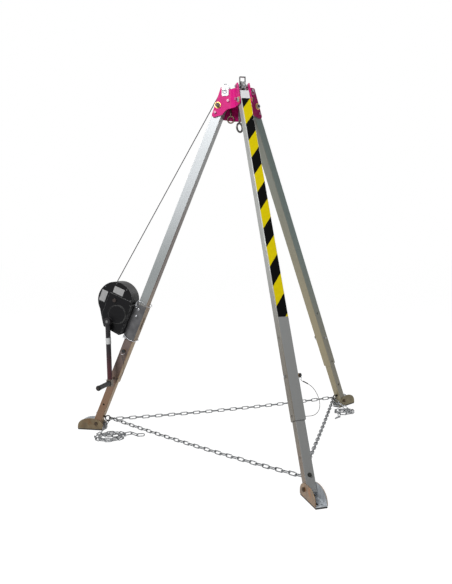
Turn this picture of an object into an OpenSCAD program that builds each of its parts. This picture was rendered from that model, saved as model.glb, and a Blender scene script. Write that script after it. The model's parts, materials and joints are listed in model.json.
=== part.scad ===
// Rescue tripod: three telescopic square-tube legs that fold under a plate head, a hand
// winch on the left leg with its wire rope over a head sheave, and chains between the feet.
// The origin is on the ground, straight under the middle of the head, with the front leg
// along -Y. Millimetres, +Z up.

/* [Legs] */
// Side of the square outer tube
outer_w = 60; // [54:1:66]
// Wall of the outer tube
outer_wall = 4; // [3:0.5:5]
// Wall of the inner tube
inner_wall = 4; // [3:0.5:5]
// Clearance on each side between inner and outer tube
slide_gap = 1; // [0.5:0.25:1.5]
// Corner radius of the tubes
tube_corner = 3; // [2:0.5:4]
// Lean of a leg from upright, in degrees
lean = 24.5; // [22:0.5:26]
// Leg pivot to the lower end of the outer tube, along the leg
outer_below = 1888; // [1800:10:1990]
// Outer tube above the leg pivot
outer_above = 57; // [52:1:58]
// Inner tube that shows between the outer tube and the foot pivot
inner_shown = 319; // [300:5:360]
// Lock pin above the lower end of the outer tube
pin_up = 225; // [215:5:235]
// Pitch of the lock holes
hole_pitch = 100; // [80:5:100]
// Pitch of the holes drilled through the outer tube
outer_hole_pitch = 200; // [180:5:205]
// Lock holes in the inner tube above the one in use
holes_above = 6; // [4:1:7]
// Lock holes in the inner tube below the one in use
holes_below = 2; // [1:1:2]
// Diameter of the lock pin
pin_d = 12; // [10:0.5:14]
// Radial play of the lock pin in its holes
pin_play = 0.5; // [0.3:0.1:0.8]

/* [Head] */
// Leg pivot to the tripod's axis
pivot_r = 124; // [116:1:130]
// Leg pivot to the middle line of its tube, outwards
pivot_off = 15; // [10:1:17]
// Diameter of the leg pivot bolt
pivot_d = 16; // [12:1:18]
// Thickness of the head's side plates
plate_t = 6; // [5:0.5:8]
// Thickness of the washers beside the leg
shim_t = 2; // [1.5:0.5:3]
// Radius of an arm's lower outer corner
corner_r = 15; // [12:1:17]
// Tripod's axis to the webs that join the arms
web_r = 55; // [53:0.5:58]
// Top of the ears above the leg pivot
ear_top = 106; // [105:1:112]
// Length of an ear along its arm
ear_w = 47; // [40:1:54]
// Sheave axle above the leg pivot
axle_up = 90; // [89:1:92]
// Sheave axle to the tripod's axis
axle_r = 80; // [76:1:84]
// Diameter of the sheave axle
axle_d = 12; // [10:0.5:14]
// Outer diameter of a sheave
sheave_d = 56; // [52:1:57]
// Width of a sheave
sheave_w = 26; // [20:1:30]
// Diameter of the stop bolt
stop_d = 10; // [8:1:12]
// Outer diameter of the lifting eye
eye_od = 64; // [54:1:68]
// Wire of the lifting eye
eye_wire = 12; // [10:1:14]
// Middle of the lifting eye below the leg pivot
eye_drop = 138; // [125:1:150]

/* [Feet] */
// Height of the foot pivot
foot_z = 45; // [42:1:50]
// Foot pivot to the heel
heel = 55; // [45:1:60]
// Foot pivot to the toe
toe = 135; // [115:1:150]
// Height of the foot's cheeks
cheek_h = 80; // [72:1:90]
// Plate of the foot
foot_t = 4; // [3:0.5:5]
// Thickness of the rubber pad
pad_t = 8; // [6:0.5:9]
// Play between the inner tube and a cheek
cheek_gap = 1.5; // [1:0.25:3]
// Diameter of the foot pivot bolt
foot_bolt_d = 12; // [10:0.5:14]
// Inner tube below the foot pivot
tube_tail = 18; // [14:1:19]
// Chain eye above the foot pivot
ring_up = 61; // [58:1:75]
// Outer diameter of a chain eye
ring_od = 44; // [40:1:46]
// Wire of a chain eye
ring_wire = 8; // [6:0.5:9]

/* [Chain] */
// Wire of a chain link
link_d = 6; // [5:0.5:6.5]
// Pitch of the chain
link_pitch = 42; // [40:1:46]
// Outer width of a link
link_w = 24; // [22:0.5:26]
// Sag of a chain run at its middle
chain_sag = 14; // [5:1:30]

/* [Winch] */
// Leg pivot to the drum's axis, along the leg
winch_below = 1375; // [1360:5:1390]
// Housing's round to its flat side, at the leg
case_gap = 8; // [6:0.5:12]
// Radius of the drum housing
case_r = 120; // [117:0.5:123]
// Wall of the housing
case_wall = 4; // [3:0.5:5]
// Depth of the drum housing behind the rope's plane
case_back = 50; // [46:1:56]
// Depth of the gear cover before the rope's plane
case_front = 68; // [66:1:76]
// Where the two halves of the housing meet
case_split = 26; // [24:0.5:28]
// Diameter of the wire rope
rope_d = 6; // [5:0.5:6]
// Radius at which the rope lies on the drum
rope_wind_r = 71.5; // [66:0.5:74]
// Radius of the drum's flanges
flange_r = 82; // [78:1:88]
// Width between the drum's flanges
drum_w = 50; // [40:1:50]
// Teeth of the drum gear
gear_teeth = 60; // [58:1:60]
// Teeth of the crank pinion
pinion_teeth = 20; // [18:1:20]
// Gear module
gear_m = 3.5; // [3.4:0.05:3.5]
// Width of the gear teeth
gear_w = 12; // [10:0.5:13]
// Side of the pinion from the leg's line, in degrees
crank_side = 7; // [4:0.5:10]
// Crank shaft to grip
crank_len = 400; // [360:5:420]
// Diameter of the crank's sleeve
crank_d = 32; // [26:1:34]
// Length of the grip
grip_len = 150; // [120:5:160]
// Diameter of the grip
grip_d = 30; // [26:1:34]
// Length of the clamp bracket
bracket_len = 245; // [230:5:260]
// Plate of the clamp bracket
bracket_t = 5; // [4:0.5:6]

/* [Hidden] */
$fn = 48;
FINE = 32;
LEGS = ["front", "right", "left"];
leg_az = [270, 30, 150];
LEFT = 2;
fit = 0.06;
clear = 0.3;
foot_plate = 14;
case_in = case_r + case_gap;
winch_out = case_in + foot_plate + outer_w / 2;
inner_w = outer_w - 2 * outer_wall - 2 * slide_gap;
leg_drop = outer_below + inner_shown;
pin_below = outer_below - pin_up;
pivot_z = foot_z + leg_drop * cos(lean) + pivot_off * sin(lean);
arm_half = outer_w / 2 + shim_t + clear;
arm_out = arm_half + plate_t;
web_mid = web_r - plate_t / 2;
web_half = (web_mid - (arm_half + plate_t / 2) / sin(60)) * tan(60);
bend_r = web_mid * cos(60) + web_half * sin(60) - plate_t / 4;
hub_r = 40;
hub_t = 12;
hub_low = 6;
stop_x = outer_w / 2 + pivot_off + stop_d / 2 + clear;
stop_up = 46;
stop_reach = outer_w / 2 - 7;
stop_r = pivot_r - stop_x * cos(lean) - stop_up * sin(lean);
stop_z = -stop_x * sin(lean) + stop_up * cos(lean);
stud_below = 45;
stud_r = pivot_r + stud_below * sin(lean);
stud_z = -stud_below * cos(lean);
washer_t = 2.5;
groove_r = sheave_d / 2 - 5;
rope_sheave_r = groove_r + rope_d / 2 + clear;
keeper_t = 3;
keeper_half = sheave_w / 2 + 2;
keeper_w = 18;
keeper_tall = sheave_d / 2 + 24;
keeper_low = sheave_d / 2 + 6;
guide_t = 3;
guide_low = 40;
guide_high = 25;
guide_w = 43;
guide_in = 26;

// Points of an arc, from angle a to angle b, about c
function arc(c, r, a, b, n = 10) =
    [for (i = [0:n]) c + r * [cos(a + (b - a) * i / n), sin(a + (b - a) * i / n)]];
function unit(v) = v / norm(v);
// A point of leg k's own frame: x out of the leg, y along the pivot, z up the leg
function on_leg(k, p) =
    let (r = pivot_r + p.x * cos(lean) - p.z * sin(lean))
    [r * cos(leg_az[k]) - p.y * sin(leg_az[k]),
     r * sin(leg_az[k]) + p.y * cos(leg_az[k]),
     pivot_z + p.x * sin(lean) + p.z * cos(lean)];

module at_leg(k)
    rotate([0, 0, leg_az[k]])
        translate([pivot_r, 0, pivot_z])
            rotate([0, -lean, 0]) children();
module at_arm(k)
    rotate([0, 0, leg_az[k]])
        translate([0, 0, pivot_z]) children();
module at_foot(k)
    rotate([0, 0, leg_az[k]])
        translate([foot_r, 0, foot_z]) children();
foot_r = pivot_r + leg_drop * sin(lean) - pivot_off * cos(lean);

// Round bar along y
module bar_y(r, y0, y1)
    translate([0, y0, 0]) rotate([-90, 0, 0]) cylinder(h = y1 - y0, r = r);
// Round bar along x
module bar_x(r, x0, x1)
    translate([x0, 0, 0]) rotate([0, 90, 0]) cylinder(h = x1 - x0, r = r);
// Plate of a drawn outline in the x-z plane, between two values of y
module plate_y(y0, y1)
    translate([0, y1, 0]) rotate([90, 0, 0]) linear_extrude(y1 - y0) children();
module hex_y(across, y0, y1)
    translate([0, y0, 0]) rotate([-90, 0, 0])
        cylinder(h = y1 - y0, r = across / sqrt(3), $fn = 6);
// Ring of round wire about the y axis
module ring_y(r, wire)
    rotate([90, 0, 0]) rotate_extrude() translate([r, 0]) circle(d = wire);
module tube_outline(w, corner)
    union() {
        square([w, w - 2 * corner], center = true);
        square([w - 2 * corner, w], center = true);
        for (x = [-1, 1], y = [-1, 1])
            translate([x, y] * (w / 2 - corner)) circle(corner);
    }
module square_tube(w, wall, z0, z1)
    translate([0, 0, z0])
        difference() {
            linear_extrude(z1 - z0) tube_outline(w, tube_corner);
            translate([0, 0, -1]) linear_extrude(z1 - z0 + 2) square(w - 2 * wall, center = true);
        }
// Tube of 8 sides swept along points
module swept(points, r, sides = 8) {
    last = len(points) - 1;
    dirs = [for (i = [0:last])
        unit(points[min(i + 1, last)] - points[max(i - 1, 0)])];
    rings = [for (i = [0:last])
        let (d = dirs[i],
             side = unit(cross(d, abs(d.z) < 0.9 ? [0, 0, 1] : [0, 1, 0])),
             up = cross(side, d))
        for (j = [0:sides - 1])
            points[i] + r * (cos(360 * j / sides) * side + sin(360 * j / sides) * up)];
    walls = [for (i = [0:last - 1], j = [0:sides - 1])
        let (a = i * sides + j, b = i * sides + (j + 1) % sides)
        each [[a, b, a + sides], [b, b + sides, a + sides]]];
    start = [for (j = [1:sides - 2]) [0, j + 1, j]];
    finish = [for (j = [1:sides - 2]) [last * sides, last * sides + j, last * sides + j + 1]];
    polyhedron(points = rings, faces = concat(start, walls, finish), convexity = 4);
}

// Head

// Outline of an arm's side plate: x from the axis, y from the pivot's height
ear_lo = axle_r - ear_w / 2;
ear_hi = axle_r + ear_w / 2;
root_top = 88;
edge_turn = 21;
corner_out = 25;
corner_low = 55;
short_out = 8;
short_low = 10;
arch_low = 88;
arch_r = 62;
rear_low = 92;
// Upper and outer edges, which all the plates share
arm_top = concat(
    [[bend_r, root_top], [ear_lo - 4, root_top]],
    arc([ear_lo + 6, ear_top - 6], 6, 180, 90, 4),
    arc([ear_hi - 6, ear_top - 6], 6, 90, edge_turn, 4));
arm_tip = arc([pivot_r + corner_out, -corner_low], corner_r, edge_turn, -90, 8);
// Plates that face forwards have an arched lower edge, those at the rear are deep, and the
// front arm's end short below the pivot
arch_plate = concat(arm_top, arm_tip, arc([bend_r, -arch_low], arch_r, 28, 90, 10));
rear_plate = concat(arm_top, arm_tip, [[bend_r, -rear_low]]);
short_plate = concat(arm_top,
    arc([pivot_r + short_out, -short_low], corner_r, edge_turn, -90, 8),
    [[bend_r, arch_r - arch_low]]);
module arm_plate(k, side)
    plate_y(side > 0 ? arm_half : -arm_out, side > 0 ? arm_out : -arm_half)
        polygon(k == 0 ? short_plate : (k == 1) == (side > 0) ? rear_plate : arch_plate);
// Upright plate between two arms
module web(azimuth, low)
    rotate([0, 0, azimuth]) translate([web_r - plate_t, -web_half, pivot_z - low])
        cube([plate_t, 2 * web_half, low + root_top]);
module hub_plate(z, t)
    translate([0, 0, pivot_z + z]) union() {
        cylinder(h = t, r = hub_r);
        for (a = [90, 210, 330]) rotate([0, 0, a])
            translate([0, -web_half + 4, 0]) cube([web_r - plate_t / 2, 2 * web_half - 8, t]);
    }

module head_frame()
    color("mediumvioletred")
    difference() {
        union() {
            for (k = [0:2], side = [-1, 1]) at_arm(k) arm_plate(k, side);
            web(90, rear_low);
            for (a = [210, 330]) web(a, arch_low - arch_r);
            hub_plate(hub_low, hub_t);
            hub_plate(root_top - 12, 6);
        }
        for (k = [0:2]) at_arm(k) {
            translate([pivot_r, 0, 0]) bar_y(pivot_d / 2 + fit, -arm_out - 1, arm_out + 1);
            translate([stop_r, 0, stop_z]) bar_y(stop_d / 2 + fit, -arm_out - 1, arm_out + 1);
            translate([axle_r, 0, axle_up]) bar_y(axle_d / 2 + fit, -arm_out - 1, arm_out + 1);
        }
        for (k = [1, LEFT]) at_arm(k) translate([stud_r, 0, stud_z])
            bar_y(stop_d / 2 + fit, -arm_out - 1, arm_out + 1);
        translate([0, 0, pivot_z]) cylinder(h = 200, r = eye_wire / 2 + fit, center = true);
    }

module cross_bolt(d, y, head)
    union() {
        bar_y(d / 2, -y - head - 2, y + 1);
        hex_y(d * 1.6, y, y + head);
    }
module nut_y(d, y, thick)
    difference() {
        hex_y(d * 1.6, -y - thick, -y);
        bar_y(d / 2 + fit, -y - thick - 1, -y + 1);
    }
module pivot_bolts()
    color("silver")
    for (k = [0:2]) at_arm(k) translate([pivot_r, 0, 0])
        cross_bolt(pivot_d, arm_out + washer_t, 9);
// Short screw through a side plate, with its inner end at y
module plate_screw(side, y)
    mirror([0, side, 0]) union() {
        bar_y(stop_d / 2, y, arm_out + 1);
        hex_y(stop_d * 1.6, arm_out, arm_out + 6);
    }
// The upper screws reach in to the leg's inner face, which rests on them; the lower ones end
// in the plate
module stop_bolts()
    color("gainsboro")
    for (k = [0:2], side = [0, 1]) at_arm(k) {
        translate([stop_r, 0, stop_z]) plate_screw(side, stop_reach);
        if (k > 0) translate([stud_r, 0, stud_z]) plate_screw(side, arm_half);
    }
module head_nuts()
    color("silver")
    for (k = [0:2]) at_arm(k) {
        translate([pivot_r, 0, 0]) nut_y(pivot_d, arm_out + washer_t, 9);
        if (k == 0) translate([0, 0, hub_low + hub_t]) rotate([-90, 0, 0]) nut_y(eye_wire, 0, 10);
    }
module washer_y(r, hole, y0, y1)
    difference() {
        bar_y(r, y0, y1);
        bar_y(hole, y0 - 1, y1 + 1);
    }
module pivot_washers()
    color("goldenrod")
    for (k = [0:2]) at_arm(k) translate([pivot_r, 0, 0]) {
        washer_y(pivot_d * 1.2, pivot_d / 2 + fit, arm_out, arm_out + washer_t);
        washer_y(pivot_d * 1.2, pivot_d / 2 + fit, -arm_out - washer_t, -arm_out);
        washer_y(pivot_d * 0.85, pivot_d / 2 + fit, outer_w / 2 + clear, arm_half);
        washer_y(pivot_d * 0.85, pivot_d / 2 + fit, -arm_half, -outer_w / 2 - clear);
    }

// Pull pin across an arm's ears, with a ring at its head end
module pull_pin(d, y, head_side, ring = pull_ring)
    mirror([0, head_side > 0 ? 0 : 1, 0]) union() {
        bar_y(d / 2, -y - 10, y + 1);
        bar_y(d * 0.7, y, y + pull_head);
        translate([0, y + pull_head * 0.6, -ring]) ring_y(ring, 2.5);
    }
pull_head = 8;
pull_ring = 12;
module sheave_axles()
    color("gainsboro") {
        at_arm(0) translate([axle_r, 0, axle_up]) pull_pin(axle_d, arm_out, 1);
        at_arm(LEFT) translate([axle_r, 0, axle_up]) pull_pin(axle_d, arm_out + guide_t, 1);
    }
module ear_pin()
    color("gainsboro")
    at_arm(1) translate([axle_r, 0, axle_up]) pull_pin(axle_d, arm_out, -1);

module keeper(up)
    difference() {
        union() {
            for (side = [-1, 1])
                plate_y(side > 0 ? keeper_half : -keeper_half - keeper_t,
                        side > 0 ? keeper_half + keeper_t : -keeper_half)
                    polygon(concat(
                        [[keeper_w / 2, up], [-keeper_w / 2, up]],
                        arc([0, 0], keeper_w / 2, 180, 360, 12)));
            translate([-keeper_w / 2, -keeper_half - keeper_t, up])
                cube([keeper_w, 2 * keeper_half + 2 * keeper_t, keeper_t]);
        }
        bar_y(axle_d / 2 + fit, -50, 50);
    }
module rope_keepers()
    color("lightgray")
    for (k = [0, LEFT]) at_arm(k) translate([axle_r, 0, axle_up])
        keeper(k == 0 ? keeper_tall : keeper_low);
// Spacers that hold a sheave's keeper in the middle of its arm
module axle_spacers()
    color("silver")
    for (k = [0, LEFT]) at_arm(k) translate([axle_r, 0, axle_up]) {
        washer_y(axle_d * 0.85, axle_d / 2 + fit, keeper_half + keeper_t, arm_half);
        washer_y(axle_d * 0.85, axle_d / 2 + fit, -arm_half, -keeper_half - keeper_t);
    }
module guide_plates()
    color("whitesmoke")
    at_arm(LEFT) translate([axle_r, 0, axle_up])
        for (y = [arm_out, -arm_out - guide_t])
            difference() {
                plate_y(y, y + guide_t)
                    polygon(concat(
                        arc([8 - guide_in, 8 - guide_low], 8, 180, 270, 6),
                        arc([guide_w - guide_in - 8, 8 - guide_low], 8, 270, 360, 6),
                        [[guide_w - guide_in, guide_high], [-guide_in, guide_high]]));
                bar_y(axle_d / 2 + fit, y - 1, y + guide_t + 1);
            }

module sheave()
    rotate([90, 0, 0])
    difference() {
        cylinder(h = sheave_w, r = sheave_d / 2, center = true);
        rotate_extrude() translate([groove_r + rope_d / 2 + clear, 0]) union() {
            circle(rope_d / 2 + clear, $fn = FINE);
            polygon([[0, -rope_d / 2 - clear], [rope_d * 2, -rope_d - 2],
                     [rope_d * 2, rope_d + 2], [0, rope_d / 2 + clear]]);
        }
        for (z = [-1, 1]) translate([0, 0, z * sheave_w / 2])
            rotate_extrude() translate([axle_d, -4]) square([sheave_d / 2 - axle_d - 9, 8]);
        cylinder(h = sheave_w + 2, r = axle_d / 2 + fit, center = true);
    }
module front_sheave()
    color("gray") at_arm(0) translate([axle_r, 0, axle_up]) sheave();
module left_sheave()
    color("gray") at_arm(LEFT) translate([axle_r, 0, axle_up]) sheave();

eye_turn = 35;
module lifting_eye()
    color("silver")
    translate([0, 0, pivot_z]) union() {
        translate([0, 0, -eye_drop + eye_od / 2 - eye_wire])
            cylinder(h = eye_drop - eye_od / 2 + eye_wire + hub_low + 34, r = eye_wire / 2);
        translate([0, 0, -eye_drop]) rotate([0, 0, eye_turn])
            ring_y((eye_od - eye_wire) / 2, eye_wire);
        translate([0, 0, hub_low - 6]) cylinder(h = 6, r = eye_wire);
    }
// Legs

module across_tube(r) bar_y(r, -outer_w, outer_w);
module outer_tube(k)
    color("darkgray")
    at_leg(k)
    difference() {
        translate([-pivot_off, 0, 0]) union() {
            square_tube(outer_w, outer_wall, -outer_below, outer_above);
            translate([0, 0, -outer_below + lug_up]) bar_y(3, outer_w / 2 - 1, lug_y);
            translate([0, 0, -outer_below + lug_up]) bar_y(5, lug_y - 2, lug_y);
        }
        across_tube(pivot_d / 2 + fit);
        for (i = [-1:1]) translate([-pivot_off, 0, -pin_below - i * outer_hole_pitch])
            across_tube(pin_d / 2 + pin_play);
    }
lug_up = 18;
lug_y = outer_w / 2 + 6;

inner_bottom = -leg_drop - tube_tail;
inner_top = -pin_below + holes_above * hole_pitch + 60;
module inner_tube(k)
    color("gray")
    at_leg(k) translate([-pivot_off, 0, 0])
    difference() {
        square_tube(inner_w, inner_wall, inner_bottom, inner_top);
        for (i = [-holes_above:holes_below]) translate([0, 0, -pin_below - i * hole_pitch])
            across_tube(pin_d / 2 + pin_play);
        translate([0, 0, -pin_below - 2 * outer_hole_pitch]) across_tube(pin_d / 2 + pin_play);
        translate([0, 0, -leg_drop]) across_tube(foot_bolt_d / 2 + fit);
        translate([0, 0, -leg_drop + ring_up]) bar_x(ring_wire / 2 + fit, -outer_w, outer_w);
    }
ring_r = (ring_od - ring_wire) / 2;
ring_out = inner_w / 2 + 8 + ring_od / 2;
// Eye bolt through the inner tube: the ring is on the inside, the head on the outside
module chain_eye(k)
    color("silver")
    at_leg(k) translate([-pivot_off, 0, -leg_drop + ring_up]) union() {
        bar_x(ring_wire / 2, -ring_out + ring_r, inner_w / 2 + 1);
        bar_x(ring_wire, -inner_w / 2 - 6, -inner_w / 2);
        translate([inner_w / 2, 0, 0]) rotate([0, 90, 0]) union() {
            cylinder(h = 2, r = ring_wire * 1.3);
            cylinder(h = 8, r = ring_wire, $fn = 6);
        }
        translate([-ring_out, 0, 0]) ring_y(ring_r, ring_wire);
    }

knob_y = 24;
module lock_pin(k)
    color("dimgray")
    at_leg(k) translate([-pivot_off, 0, -pin_below]) union() {
        bar_y(pin_d / 2, -outer_w / 2 - 8, outer_w / 2 + 3);
        bar_y(pin_d * 0.8, outer_w / 2 + clear, outer_w / 2 + 5);
        bar_y(pin_d * 0.65, outer_w / 2 + 4, outer_w / 2 + 9);
        bar_y(pin_d * 0.95, outer_w / 2 + 8, outer_w / 2 + knob_y);
        translate([0, outer_w / 2 + knob_y - 4, -pin_ring]) ring_y(pin_ring, 2.2);
    }
pin_ring = 12;

// Thin wire lanyard from the pin's ring to the eyelet, in the leg's frame from the lock pin:
// on the front leg it springs out sideways, on the other two it lies beside the tube
lanyard_d = 3;
lanyard_wide = [[0, 50, -27], [2, 62, -34], [4, 78, -45], [6, 95, -60], [7, 109, -80], [8, 119, -106],
                [8, 124, -134], [8, 122, -160], [6, 114, -182], [4, 98, -198], [2, 76, -206], [0, 38, -206]];
lanyard_close = [[0, 50, -27], [12, 56, -38], [34, 62, -62], [50, 58, -100],
                 [52, 50, -140], [42, 44, -175], [22, 40, -198], [0, 38, -206]];
lanyard_side = [1, 1, -1];
module lanyard(k)
    color("dimgray")
    swept([for (p = k == 0 ? lanyard_wide : lanyard_close)
        on_leg(k, [lanyard_side[k] * p.x - pivot_off, p.y, p.z - pin_below])], lanyard_d / 2);

// Feet

cheek_in = inner_w / 2 + cheek_gap;
foot_half = cheek_in + foot_t;
plate_low = pad_t - foot_z;
foot_mid = (toe - heel) / 2;
foot_long = (toe + heel) / 2;
cheek_outline = concat(
    [[-heel, plate_low]],
    [for (a = [180:-10:0])
        [foot_mid + foot_long * cos(a),
         plate_low + foot_t + (cheek_h - pad_t - foot_t) * pow(sin(a), 0.75)]],
    [[toe, plate_low]]);
module foot(k)
    color("darkkhaki")
    at_foot(k)
    difference() {
        union() {
            for (side = [-1, 1])
                plate_y(side > 0 ? cheek_in : -foot_half, side > 0 ? foot_half : -cheek_in)
                    polygon(cheek_outline);
            translate([-heel, -foot_half, plate_low]) cube([heel + toe, 2 * foot_half, foot_t]);
        }
        bar_y(foot_bolt_d / 2 + fit, -foot_half - 1, foot_half + 1);
        translate([toe - 20, foot_half / 3, plate_low - 1]) cylinder(h = foot_t + 2, r = 5);
        translate([toe - 48, -foot_half / 3, plate_low - 1]) cylinder(h = foot_t + 2, r = 6);
        translate([toe - 24, -foot_half / 3, plate_low - 1]) cylinder(h = foot_t + 2, r = 6);
        translate([toe - 48, -foot_half / 3 - 6, plate_low - 1]) cube([24, 12, foot_t + 2]);
    }
module foot_pad(k)
    color("black")
    at_foot(k) translate([-heel + 3, -foot_half + 1, -foot_z])
        cube([heel + toe - 4, 2 * foot_half - 2, pad_t]);
module foot_bolt(k)
    color("silver")
    at_foot(k) {
        union() {
            bar_y(foot_bolt_d / 2, -foot_half - 10, foot_half + 1.5);
            bar_y(foot_bolt_d, foot_half + clear, foot_half + 5);
        }
        difference() {
            hex_y(foot_bolt_d * 1.6, -foot_half - clear - 7, -foot_half - clear);
            bar_y(foot_bolt_d / 2 + fit, -foot_half - 12, 0);
        }
    }

// Chain

module link(inner_len)
    union() {
        mid_r = (link_w - link_d) / 2;
        straight = inner_len - link_w + 2 * link_d;
        for (side = [-1, 1]) {
            translate([side * straight / 2, 0, 0]) rotate([0, 0, side * 90 - 180])
                rotate_extrude(angle = 180, $fn = 24)
                    translate([mid_r, 0]) circle(d = link_d, $fn = 16);
            translate([0, side * mid_r, 0]) rotate([0, 90, 0])
                cylinder(h = straight, d = link_d, center = true, $fn = 16);
        }
    }
// A link between each two neighbouring points, turned by a quarter from one to the next; the
// first few are turned by up to hang degrees more, so that the chain hangs square in its ring
module links(points, roll, hang = 0)
    for (i = [0:len(points) - 2]) {
        v = points[i + 1] - points[i];
        translate((points[i] + points[i + 1]) / 2)
            rotate([roll + i * 90 + max(0, hang * (1 - i / 3)), asin(-v.z / norm(v)), atan2(v.y, v.x)])
                link(norm(v) + clear);
    }
// Where a chain hooks into leg k's ring: up is the angle on the ring, from its inner side
hook = ring_wire / 2 + link_d / 2 + 2 * clear;
function ring_point(k, up) =
    on_leg(k, [-pivot_off - ring_out - ring_r * cos(up), 0, -leg_drop + ring_up + ring_r * sin(up)]);
function run_points(a, b) =
    let (u = unit(b - a), p = a - u * (hook - link_d / 2), q = b + u * (hook - link_d / 2),
         n = round(norm(q - p) / link_pitch / 2) * 2 - 1)
    [for (i = [0:n]) p + (q - p) * i / n - [0, 0, 4 * chain_sag * i / n * (1 - i / n)]];
ring_spread = 14;
module chain_run(k)
    color("slategray")
    links(run_points(ring_point(k, lean + ring_spread), ring_point((k + 1) % 3, lean - ring_spread)), 0);
// Spare chain: each link's heading from the leg's outward line, and its rise, in degrees
function walk(p, k, steps, i = 0) =
    i == len(steps) ? [p] :
    let (h = steps[i].x + leg_az[k], e = steps[i].y)
    concat([p], walk(p + link_pitch * [cos(e) * cos(h), cos(e) * sin(h), sin(e)], k, steps, i + 1));
spare_low = link_d / 2 + (link_w - link_d) / 2 * sin(45);
spare_step = 2 * spare_low + clear;
spare_up = asin(spare_step / link_pitch);
// Three links fall from the ring's lowest point to the ground, sideways at heading h
function spare_walk(k, h, steps) =
    let (top = ring_point(k, lean - 90), a = h + leg_az[k],
         e = asin((spare_low - top.z) / (3 * link_pitch - hook + link_d / 2)))
    walk(top - (hook - link_d / 2) * [cos(e) * cos(a), cos(e) * sin(a), sin(e)], k,
         concat([for (i = [1:3]) [h, e]], steps));
// A flat coil that draws in by a link's width a turn, then one link up onto it
function coil(h, r, n, side) =
    n == 0 ? [[h, spare_up]] :
    let (t = 2 * asin(link_pitch / 2 / r))
    concat([[h, 0]], coil(h + side * t, r - link_w * t / 360, n - 1, side));
// The chain's tail crosses the coil and drops to the ground outside it
function with_tail(c, turns) =
    concat(c, [for (t = turns) [c[len(c) - 1].x + t.x, t.y * spare_up]]);
spare_left = concat([[84, 0]], with_tail(coil(98, 100, 23, 1),
    [[35, 0], [70, 0], [105, 0], [115, 0], [115, 0], [110, -1], [90, 0]]));
spare_right = with_tail(coil(262, 72, 11, -1),
    [[20, 0], [50, 0], [60, -1], [30, 0]]);
module chain_spare_left()
    color("slategray") links(spare_walk(LEFT, 90, spare_left), 45, 45);
module chain_spare_right()
    color("slategray") links(spare_walk(1, 270, spare_right), 45, 45);

// Winch, in the left leg's frame from the drum's axis

module at_winch()
    at_leg(LEFT) translate([winch_out - pivot_off, 0, -winch_below]) children();
gear_gap = (gear_teeth + pinion_teeth) * gear_m / 2;
crank_x = -gear_gap * sin(crank_side);
crank_z = -gear_gap * cos(crank_side);
gear_y = drum_w / 2 + 4;
mesh_angle = -90 - crank_side;

function involute(r, base) = let (a = acos(min(1, base / r))) tan(a) * 180 / PI - a;
// One outline of involute teeth, thinned for backlash
function gear_outline(teeth, play = 0.25) =
    let (pitch_r = teeth * gear_m / 2, base = pitch_r * cos(20),
         root = pitch_r - 1.3 * gear_m, tip = pitch_r + 0.95 * gear_m,
         half = 90 / teeth - play / pitch_r * 90 / PI + involute(pitch_r, base),
         radii = [root, for (i = [0:3]) max(base, root) + (tip - max(base, root)) * i / 3])
    [for (t = [0:teeth - 1], side = [-1, 1], j = [0:4])
        let (r = radii[side < 0 ? j : 4 - j],
             a = 360 * t / teeth + side * (half - involute(r, base)))
        r * [cos(a), sin(a)]];
module gear(teeth, turn, y0, y1)
    plate_y(y0, y1) rotate(turn) polygon(gear_outline(teeth));

// An outline with each side moved in by d
function inset(points, d) =
    let (n = len(points),
         normals = [for (i = [0:n - 1]) let (e = unit(points[(i + 1) % n] - points[i])) [e.y, -e.x]],
         offsets = [for (i = [0:n - 1]) normals[i] * points[i] - d])
    [for (i = [0:n - 1])
        let (a = normals[(i + n - 1) % n], b = normals[i], p = offsets[(i + n - 1) % n], q = offsets[i])
        [p * b.y - q * a.y, a.x * q - b.x * p] / (a.x * b.y - a.y * b.x)];
skirt_turn = -20;
// Lower part of the housing, from the drum down past the crank shaft to the leg's side
skirt = [[-case_in, 20], [-case_in, crank_z - 44], [-case_in + 18, crank_z - 60],
         [crank_x + 4, crank_z - 54], [crank_x + 27, crank_z - 50], [crank_x + 43, crank_z - 29],
         case_r * [cos(skirt_turn), sin(skirt_turn)], [0, 20]];
module drop_outline(d)
    union() {
        circle(case_r - d);
        polygon(inset(skirt, d));
    }
rope_slot = 16;
rope_slot_half = 22;
module winch_rear_case()
    color([0.12, 0.12, 0.12])
    at_winch()
    difference() {
        plate_y(-case_back, case_split) drop_outline(0);
        plate_y(-case_back + case_wall, case_split + 1) drop_outline(case_wall);
        bar_y(drum_axle_d / 2 + fit, -case_back - 1, case_split);
        rotate([0, rope_lean, 0])
            translate([rope_wind_r - rope_slot / 2, -rope_slot_half, 0])
                cube([rope_slot, 2 * rope_slot_half, case_r + 20]);
        translate([crank_x, 0, crank_z]) bar_y(shaft_r + fit, -case_back - 1, case_split);
        for (p = foot_screws) translate([0, p.y, p.x]) bar_x(screw_r + fit, -case_in - 1, 0);
    }
module winch_front_case()
    color([0.14, 0.14, 0.14])
    at_winch()
    difference() {
        union() {
            plate_y(case_split, case_front) drop_outline(0);
            plate_y(case_front, case_front + pad_up) intersection() {
                drop_outline(9);
                translate([-2 * case_r, -2 * case_r]) square([2 * case_r + 50, 2 * case_r + 36]);
            }
            translate([boss.x, 0, boss.y]) bar_y(boss_r, case_front, case_front + pad_up + 7);
            translate([crank_x, 0, crank_z]) bar_y(22, case_front, hub_y - 1);
        }
        plate_y(case_split - 1, case_front - case_wall) drop_outline(case_wall);
        bar_y(drum_axle_d / 2 + fit, 0, case_front + 30);
        translate([crank_x, 0, crank_z]) bar_y(shaft_r + fit, 0, case_front + 30);
    }
pad_up = 4;
boss = [-50, -78];
boss_r = 58;
case_screw_angles = [-25, 32, 75, 118, 158];
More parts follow.
